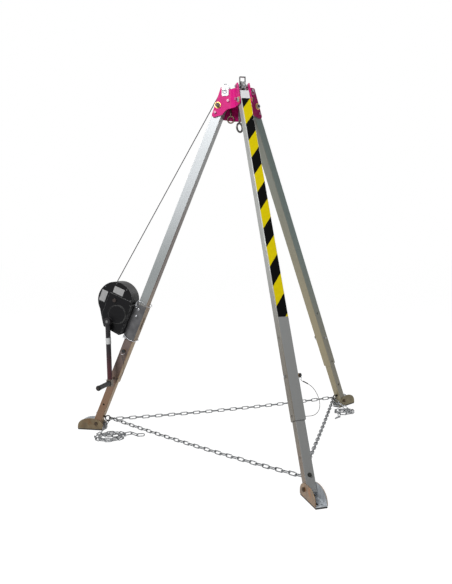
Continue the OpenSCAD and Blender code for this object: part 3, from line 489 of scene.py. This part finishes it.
softened("pivot_washers", 0.0004, [gold])

# Sheaves and what holds them: turned grey aluminium sheaves on bright pull pins, each under a
# dark steel rope keeper. On the winch arm two pale aluminium guide plates sit outside the ears.
turned = Finish("turned_sheave", (0.46, 0.46, 0.46), (0.32, 0.32, 0.32), 0.9, 0.30, 0.45, scale=160)
dark_steel = Finish("dark_keeper", (0.16, 0.16, 0.165), (0.08, 0.08, 0.085), 0.8, 0.30, 0.48, scale=90)
pale_plate = worn(Finish("pale_plate", (0.60, 0.62, 0.64), (0.51, 0.53, 0.55), 0.35, 0.30, 0.45, scale=50),
                  (0.95, 0.95, 0.95), 0.6)
for node in ("front_sheave", "left_sheave"):
    softened(node, 0.0008, [turned])
softened("rope_keepers", 0.0006, [dark_steel])
softened("guide_plates", 0.0006, [pale_plate])
for node in ("sheave_axles", "ear_pin"):
    softened(node, 0.0005, [zinc])

# Lifting eye: a forged steel eye bolt, dark from use in its ring. Its shank goes up through
# the lower hub disc and a nut holds it there.
forged = Finish("forged_eye", (0.16, 0.155, 0.15), (0.06, 0.058, 0.055), 0.8, 0.30, 0.5, scale=70)
softened("lifting_eye", 0.0006, [forged])

# Leg tubes: drawn aluminium, satin, with fine lines along each tube, the inner one sliding in
# the outer. Their colours carry painted light: each leg has its own painted lightness, the right
# leg darkest, and the face on one side is a darker copy as painted shade. Towards the ground the
# tubes turn darker and warmer, as painted shade and a painted reflection of a warm floor. Each
# inner tube carries a dark eye bolt for the chain and the rusty bolt on which its foot tilts.
warm_fade, fade_in, fade_out = node_group(
    "height_fade",
    [("Vector", VECTOR, None), ("Colour", COLOUR, (1, 1, 1, 1)), ("Tint", COLOUR, (0.3, 0.2, 0.1, 1)),
     ("Bottom", NUMBER, 0.8), ("Top", NUMBER, 1.1), ("Amount", NUMBER, 1.0)],
    [("Colour", COLOUR)])
fade_split = warm_fade.nodes.new("ShaderNodeSeparateXYZ")
warm_fade.links.new(fade_in.outputs["Vector"], fade_split.inputs[0])
fade_ramp = warm_fade.nodes.new("ShaderNodeMapRange")
fade_ramp.interpolation_type = "SMOOTHSTEP"
warm_fade.links.new(fade_split.outputs["Z"], fade_ramp.inputs["Value"])
warm_fade.links.new(fade_in.outputs["Top"], fade_ramp.inputs["From Min"])
warm_fade.links.new(fade_in.outputs["Bottom"], fade_ramp.inputs["From Max"])
warm_fade.links.new(fade_in.outputs["Amount"], fade_ramp.inputs["To Max"])
warm_fade.links.new(blend_colours(warm_fade, fade_ramp.outputs["Result"], fade_in.outputs["Colour"],
                                  fade_in.outputs["Tint"]), fade_out.inputs["Colour"])


def faded(finish, tint, bottom, above, amount):
    """Turns a finish to a tint towards the ground."""
    fade = finish.tree.nodes.new("ShaderNodeGroup")
    fade.node_tree = warm_fade
    fade.inputs["Tint"].default_value = (*tint, 1)
    fade.inputs["Bottom"].default_value = bottom
    fade.inputs["Top"].default_value = above
    fade.inputs["Amount"].default_value = amount
    finish.tree.links.new(finish.object, fade.inputs["Vector"])
    finish.tree.links.new(finish.shown, fade.inputs["Colour"])
    finish.colour(fade.outputs["Colour"])
    return finish


dark_ring = Finish("dark_ring", (0.055, 0.055, 0.050), (0.025, 0.025, 0.023), 0.7, 0.30, 0.5, scale=90)
rusty_bolt = Finish("rusty_bolt", (0.13, 0.085, 0.050), (0.045, 0.032, 0.022), 0.6, 0.40, 0.6, scale=60)


def tube_metal_painted_light(name, leg, light, dark, painted_light_fades):
    """Satin metal with lines along one leg, which takes each tint of painted shade and painted reflection in turn
    from above downwards.
    """
    metal = Finish(name, light, dark, 0.25, 0.34, 0.48, scale=260, bump=0.06, place=leg_frame(leg), stretch=60)
    for tint, bottom, above in painted_light_fades:
        metal = faded(metal, tint, bottom, above, 0.95)
    return worn(metal, (0.70, 0.70, 0.69), 0.35)


FACE_FROM = 0.0243
# Per leg: the tones of the lit faces, the tones of the face in painted shade, and the test for that face. Each
# leg's lightness is painted light, and each fade towards the ground is painted shade and a painted reflection of a
# warm floor.
leg_painted_light_tones = {
    "front": (((0.86, 0.87, 0.89), (0.78, 0.79, 0.80), [((0.26, 0.265, 0.26), 0.80, 1.35)]),
              ((0.46, 0.47, 0.45), (0.39, 0.40, 0.38), [((0.14, 0.12, 0.09), 0.58, 1.18),
                                                        ((0.19, 0.14, 0.10), 0.16, 0.30)]),
              lambda point: point.y < -FACE_FROM),
    "right": (((0.30, 0.37, 0.345), (0.24, 0.305, 0.28), [((0.33, 0.305, 0.235), 0.30, 1.30)]),
              ((0.30, 0.31, 0.27), (0.24, 0.25, 0.21), [((0.42, 0.36, 0.225), 0.45, 1.75)]),
              lambda point: point.x < -PIVOT_OFF - FACE_FROM),
    "left": (((0.66, 0.69, 0.71), (0.60, 0.63, 0.65), [((0.32, 0.345, 0.345), 0.98, 1.62),
                                                       ((0.165, 0.115, 0.10), 0.68, 0.92),
                                                       ((0.25, 0.145, 0.085), 0.20, 0.50)]),
             ((0.37, 0.375, 0.37), (0.32, 0.325, 0.32), [((0.16, 0.115, 0.095), 1.20, 1.80),
                                                         ((0.40, 0.26, 0.125), 0.62, 1.05)]),
             lambda point: point.x < -PIVOT_OFF - FACE_FROM)}
for leg, (sides, shaded, painted_shade_face) in leg_painted_light_tones.items():
    to_leg = leg_frame(leg).inverted()
    tubes = [tube_metal_painted_light(leg + "_tube_metal_painted_light", leg, *sides), tube_metal_painted_light(leg + "_tube_painted_shade", leg, *shaded)]
    for tube in ("_outer_tube", "_inner_tube"):
        # Faces on the side away from the light take the darker copy of the metal, a painted shade.
        softened(leg + tube, 0.0006, tubes, pick=lambda point: 1 if painted_shade_face(to_leg @ point) else 0)
    softened(leg + "_chain_eye", 0.0005, [dark_ring])
    softened(leg + "_foot_bolt", 0.0006, [rusty_bolt])

# Hazard tape: thin self-adhesive plastic tape on the front leg's outer face, with black and
# yellow bands that rise to the right. It starts and ends with black.
TAPE_TOP, TAPE_LOW, TAPE_HALF, TAPE_MID, TAPE_T = 0.0005, -1.3588, 0.0268, 0.0015, 0.0002
TUBE_FACE, TAPE_LIFT = 0.015, 0.00002
FIRST_YELLOW, BAND_PERIOD, BAND_RISE = -0.0364, 0.2236, 1.345
tape_form = bmesh.new()
bmesh.ops.create_grid(tape_form, x_segments=6, y_segments=60, size=0.5)
for vert in tape_form.verts:
    across, up = TAPE_MID + vert.co.x * 2 * TAPE_HALF, TAPE_LOW + (vert.co.y + 0.5) * (TAPE_TOP - TAPE_LOW)
    vert.co = leg_frame("front") @ Vector((TUBE_FACE + TAPE_LIFT, across, up))
bmesh.ops.recalc_face_normals(tape_form, faces=tape_form.faces)
tape_out = leg_frame("front").to_3x3() @ Vector((1, 0, 0))
if tape_form.faces[:][0].normal.dot(tape_out) < 0:
    bmesh.ops.reverse_faces(tape_form, faces=tape_form.faces)
bmesh.ops.solidify(tape_form, geom=tape_form.faces[:], thickness=-TAPE_T)
tape_paint = Finish("hazard_tape", (0.88, 0.71, 0.005), (0.80, 0.64, 0.004), 0.0, 0.30, 0.42,
                    scale=60, bump=0.05, place=leg_frame("front"))
tape_split = tape_paint.tree.nodes.new("ShaderNodeSeparateXYZ")
tape_paint.tree.links.new(tape_paint.vector, tape_split.inputs[0])


def number(tree, operation, a, b):
    """One step of arithmetic; each value is a socket or a number."""
    step = tree.nodes.new("ShaderNodeMath")
    step.operation = operation
    for slot, value in ((0, a), (1, b)):
        if isinstance(value, (int, float)):
            step.inputs[slot].default_value = value
        else:
            tree.links.new(value, step.inputs[slot])
    return step.outputs[0]


tape_slope = number(tape_paint.tree, "MULTIPLY", tape_split.outputs["Y"], -BAND_RISE)
tape_place = number(tape_paint.tree, "ADD", tape_split.outputs["Z"], tape_slope)
tape_from = number(tape_paint.tree, "SUBTRACT", tape_place, FIRST_YELLOW)
tape_turns = number(tape_paint.tree, "DIVIDE", tape_from, BAND_PERIOD)
tape_wave = number(tape_paint.tree, "SINE", number(tape_paint.tree, "MULTIPLY", tape_turns, math.tau), 0)
tape_black = spread(tape_paint.tree, tape_wave, -0.03, 0.03)
tape_dark = tape_paint.plain(0.003, 0.003, 0.003)
tape_paint.colour(blend_colours(tape_paint.tree, tape_black, tape_paint.shown, tape_dark))
tape_paint.shader.inputs["Specular IOR Level"].default_value = 0.05
tape = show("front_hazard_tape", tape_form, [tape_paint.paint], "front_leg")

# Lock pins: bright steel pins with a black plastic knob, a gold-coloured collar and a ring.
# Each goes through the outer tube into a hole of the inner one.
KNOB_FROM, KNOB_TO, KNOB_R, COLLAR_FROM = 0.0385, 0.0555, 0.0130, 0.0301


def pin_paint(point):
    """Which finish a place on a lock pin has: 0 the steel, 1 the collar, 2 the knob."""
    off_axis = math.hypot(point.x + PIVOT_OFF, point.z + PIN_DOWN)
    if KNOB_FROM < point.y < KNOB_TO and off_axis < KNOB_R:
        return 2
    return 1 if COLLAR_FROM < point.y < KNOB_FROM else 0


for leg in AZIMUTH:
    to_leg = leg_frame(leg).inverted()
    softened(leg + "_lock_pin", 0.0006, [zinc, gold, black_plastic],
             pick=lambda point: pin_paint(to_leg @ point))

# Feet: folded steel plate, brown from its old passivate and rusty in patches outside, pale zinc
# inside the channel, on a moulded black rubber pad. They tilt on the bolt through the inner tube.
rust, rust_in, rust_out = node_group(
    "rust_patches",
    [("Vector", VECTOR, None), ("Colour", COLOUR, (1, 1, 1, 1)), ("Rust", COLOUR, (0.26, 0.11, 0.04, 1)),
     ("Scale", NUMBER, 22.0)],
    [("Colour", COLOUR)])
rust_patch = noise_node(rust, rust_in.outputs["Vector"], rust_in.outputs["Scale"], 6)
rust.links.new(blend_colours(rust, spread(rust, rust_patch, 0.54, 0.66), rust_in.outputs["Colour"],
                             rust_in.outputs["Rust"]), rust_out.inputs["Colour"])


def rusted(finish, tint, scale):
    """Puts patches of another colour on a finish."""
    patches = finish.tree.nodes.new("ShaderNodeGroup")
    patches.node_tree = rust
    patches.inputs["Rust"].default_value = (*tint, 1)
    patches.inputs["Scale"].default_value = scale
    finish.tree.links.new(finish.object, patches.inputs["Vector"])
    finish.tree.links.new(finish.shown, patches.inputs["Colour"])
    finish.colour(patches.outputs["Colour"])
    return finish


foot_tones = {"front": ((0.29, 0.19, 0.105), (0.16, 0.10, 0.06), (0.30, 0.13, 0.045)),
              "right": ((0.27, 0.225, 0.125), (0.17, 0.14, 0.078), (0.15, 0.12, 0.05)),
              "left": ((0.23, 0.175, 0.10), (0.13, 0.095, 0.055), (0.17, 0.10, 0.045))}
channel = Finish("channel_zinc", (0.70, 0.73, 0.76), (0.46, 0.49, 0.52), 0.35, 0.24, 0.42, scale=45)
rubber = Finish("black_rubber", (0.018, 0.018, 0.018), (0.010, 0.010, 0.010), 0.0, 0.65, 0.85, scale=200, bump=0.3)
CHEEK_IN, SOLE_TOP = 0.0269, 0.0085
for leg in AZIMUTH:
    turn_back = Matrix.Rotation(-AZIMUTH[leg], 4, "Z")
    light, dark, stain = foot_tones[leg]
    passivated = worn(rusted(Finish(leg + "_foot_plate", light, dark, 0.45, 0.34, 0.52, scale=28), stain, 26),
                      (0.50, 0.44, 0.33), 0.6)
    softened(leg + "_foot", 0.0008, [passivated, channel],
             pick=lambda point: 1 if abs((turn_back @ point).y) < CHEEK_IN and point.z > SOLE_TOP else 0)
    softened(leg + "_foot_pad", 0.0016, [rubber])

# Chain: zinc-plated welded steel links, dull from use. Three runs go between the eye bolts of
# the legs, and two spare ends lie on the ground.
chain_zinc = Finish("chain_zinc", (0.32, 0.33, 0.34), (0.11, 0.115, 0.12), 1.0, 0.24, 0.46, scale=90)
for node in ("right_chain", "left_chain", "rear_chain", "spare_chain_left", "spare_chain_right"):
    softened(node, 0, [chain_zinc])

# Winch: a cast housing in two halves, satin black, screwed to a mounting plate. The face has
# a raised pad, a round boss with a rubbed rim and two bare plates.
housing = worn(Finish("black_housing", (0.010, 0.010, 0.011), (0.005, 0.005, 0.006), 0.0, 0.34, 0.50,
                      scale=220, bump=0.35), (0.20, 0.20, 0.20), 0.8)
housing.shader.inputs["Specular IOR Level"].default_value = 0.15
bare_plate = worn(Finish("bare_plate", (0.44, 0.44, 0.44), (0.36, 0.36, 0.36), 0.1, 0.30, 0.45, scale=70),
                  (0.75, 0.75, 0.75), 0.6)
for node in ("winch_rear_case", "winch_front_case"):
    softened(node, 0.0018, [housing], segments=3)
softened("winch_foot", 0.0012, [housing])
softened("rating_plates", 0.0003, [bare_plate])
softened("case_screws", 0.0005, [dark_steel])
winch_frame = leg_frame("left") @ Matrix.Translation((DRUM_OUT - PIVOT_OFF, 0, -WINCH_DOWN))


def ring_form(profile, steps, place):
    """A closed profile of radius and height, spun once round the y axis and put in its place."""
    form = bmesh.new()
    verts = [form.verts.new((radius, height, 0)) for radius, height in profile]
    edges = [form.edges.new(pair) for pair in zip(verts, verts[1:] + verts[:1])]
    bmesh.ops.spin(form, geom=verts + edges, cent=(0, 0, 0), axis=(0, 1, 0), dvec=(0, 0, 0),
                   angle=math.tau, steps=steps, use_merge=True, use_duplicate=False)
    bmesh.ops.remove_doubles(form, verts=form.verts, dist=0.00001)
    bmesh.ops.recalc_face_normals(form, faces=form.faces)
    bmesh.ops.transform(form, matrix=place, verts=form.verts)
    return form


BOSS_X, BOSS_Z, BOSS_R, BOSS_TOP = -0.050, -0.078, 0.058, 0.079
RIM_OUT = ((-0.001, -0.0085), (0.0065, -0.0085), (0.0062, -0.0060), (0.0005, -0.0003), (-0.001, -0.0001))
rim_form = ring_form([(BOSS_R + out, BOSS_TOP + up) for out, up in RIM_OUT], 96,
                     winch_frame @ Matrix.Translation((BOSS_X, 0, BOSS_Z)))
smooth_shaded(rim_form, 30)
rubbed_rim = Finish("rubbed_rim", (0.035, 0.035, 0.035), (0.014, 0.014, 0.014), 0.2, 0.18, 0.30, scale=120)
rim = show("boss_rim", rim_form, [rubbed_rim.paint], "left_leg")

# Clamp bracket: a folded channel round the leg, brown passivated, with a slot in its web. Its
# flanges are painted dark grey as painted shade, with their edges rubbed paler, and hold two
# bright pull pins, each with a wire bail that goes round the web, and two short studs.
bracket_steel = worn(Finish("bracket_passivate", (0.25, 0.155, 0.068), (0.15, 0.09, 0.036), 0.3, 0.32, 0.5,
                            scale=24), (0.62, 0.54, 0.40), 0.6)
# The flanges' dark grey is painted shade; only the paler rubbed edges are wear.
flange_painted_shade = worn(Finish("bracket_flange_painted_shade", (0.15, 0.15, 0.155), (0.085, 0.085, 0.09), 0.6, 0.30, 0.48, scale=30),
                    (0.50, 0.48, 0.44), 0.6)
FLANGE_IN, FLANGE_OUT, WEB_OUT, WIRE_R = 0.0304, 0.0353, -0.2064, 0.0022
to_winch = winch_frame.inverted()
# The faces of the flanges take the painted-shade finish.
softened("winch_bracket", 0.0010, [bracket_steel, flange_painted_shade],
         pick=lambda point: 1 if abs((to_winch @ point).y) > FLANGE_IN and (to_winch @ point).x > WEB_OUT else 0)
softened("bracket_pins", 0.0005, [zinc])
bails = {"lower": ((-136, 41, -194), (-150, 44, -199), (-180, 44, -203), (-205, 42, -203), (-213, 36, -202),
                   (-215, 18, -201)),
         "upper": ((-136, 41, 27), (-134, 44, 42), (-146, 45, 58), (-172, 45, 60), (-200, 42, 50),
                   (-213, 36, 45), (-215, 18, 43))}
for bail_name, near_half in bails.items():
    bail = near_half + tuple((x, -y, z) for x, y, z in reversed(near_half))
    bail_points = along([winch_frame @ (Vector(point) / 1000) for point in bail], 0.002)
    bail_form = laid_rope(bail_points, WIRE_R, 4, 50.0)
    bail_wire = show("bracket_" + bail_name + "_bail", bail_form, [zinc.paint], "left_leg")
STUD_X, STUD_R, STUD_LONG, STUD_ROUND, STUD_MID = -0.162, 0.0075, 0.0075, 0.0022, 0.0035
for stud_name, stud_z in (("upper", 0.006), ("middle", -0.040)):
    stud_form = bmesh.new()
    bmesh.ops.create_cone(stud_form, cap_ends=True, segments=32, radius1=STUD_R, radius2=STUD_R, depth=STUD_LONG)
    stud_rim = [e for e in stud_form.edges if all(v.co.z > 0 for v in e.verts)]
    bmesh.ops.bevel(stud_form, geom=stud_rim, offset=STUD_ROUND, affect="EDGES", segments=4, profile=0.5,
                    material=-1)
    smooth_shaded(stud_form, 40)
    stud_place = winch_frame @ Matrix.Translation((STUD_X, FLANGE_OUT + STUD_MID, stud_z))
    bmesh.ops.transform(stud_form, verts=stud_form.verts, matrix=stud_place @ Matrix.Rotation(-math.pi / 2, 4, "X"))
    stud = show("bracket_" + stud_name + "_stud", stud_form, [zinc.paint], "left_leg")

# Drum, gears and axle inside the housing: machined iron on a dark axle, with the rope wound
# on the drum in close turns.
iron = Finish("machined_iron", (0.26, 0.26, 0.26), (0.16, 0.16, 0.16), 0.9, 0.32, 0.5, scale=110)
softened("drum_axle", 0.0008, [black_oxide])
for node in ("drum", "drum_gear", "crank_pinion"):
    softened(node, 0, [iron])
WOUND_IN, WOUND_OUT, WOUND_HALF, TURNS = 0.0502, 0.0682, 0.0249, 8
CROWN, TURN_HALF = 0.0026, 0.0030
wound_line = [(WOUND_IN, -WOUND_HALF)]
for turn in range(TURNS):
    middle = -WOUND_HALF + (turn + 0.5) * 2 * WOUND_HALF / TURNS
    for step in range(5):
        angle = math.pi * (1 - step / 4)
        wound_line.append((WOUND_OUT - CROWN + CROWN * math.sin(angle), middle + TURN_HALF * math.cos(angle)))
wound_line.append((WOUND_IN, WOUND_HALF))
wound_form = ring_form(wound_line, 64, winch_frame)
for face in wound_form.faces:
    face.smooth = True
wound = show("wound_rope", wound_form, [rope_steel.paint], "drum")
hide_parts("rope_winding")

# Crank: a steel arm in a black sleeve that turns to a dark dull red at its lower end, with a
# white collar, a brown-grey end block and a black grip that turns on its own pin.
BLOCK_TOP = 0.3634
sleeve_paint = faded(Finish("crank_sleeve", (0.024, 0.021, 0.024), (0.014, 0.012, 0.014), 0.0, 0.38, 0.55,
                            scale=90, bump=0.2), (0.085, 0.024, 0.030), 0.40, 0.58, 0.95)
sleeve_paint.shader.inputs["Specular IOR Level"].default_value = 0.3
end_block = worn(Finish("end_block", (0.19, 0.15, 0.11), (0.11, 0.085, 0.06), 0.5, 0.32, 0.5, scale=60),
                 (0.5, 0.47, 0.42), 0.7)
collar_paint = Finish("white_collar", (0.70, 0.71, 0.71), (0.60, 0.61, 0.61), 0.0, 0.28, 0.4, scale=40)
grip_paint = Finish("grip_rubber", (0.016, 0.016, 0.017), (0.009, 0.009, 0.010), 0.0, 0.42, 0.62,
                    scale=160, bump=0.25)
grip_paint.shader.inputs["Specular IOR Level"].default_value = 0.3
softened("crank_arm", 0.0016, [sleeve_paint, end_block], pick=lambda point: 1 if point.z < BLOCK_TOP else 0)
softened("crank_collar", 0.0006, [collar_paint])
softened("crank_grip", 0.0018, [grip_paint], segments=3)
softened("grip_pin", 0.0005, [black_oxide])
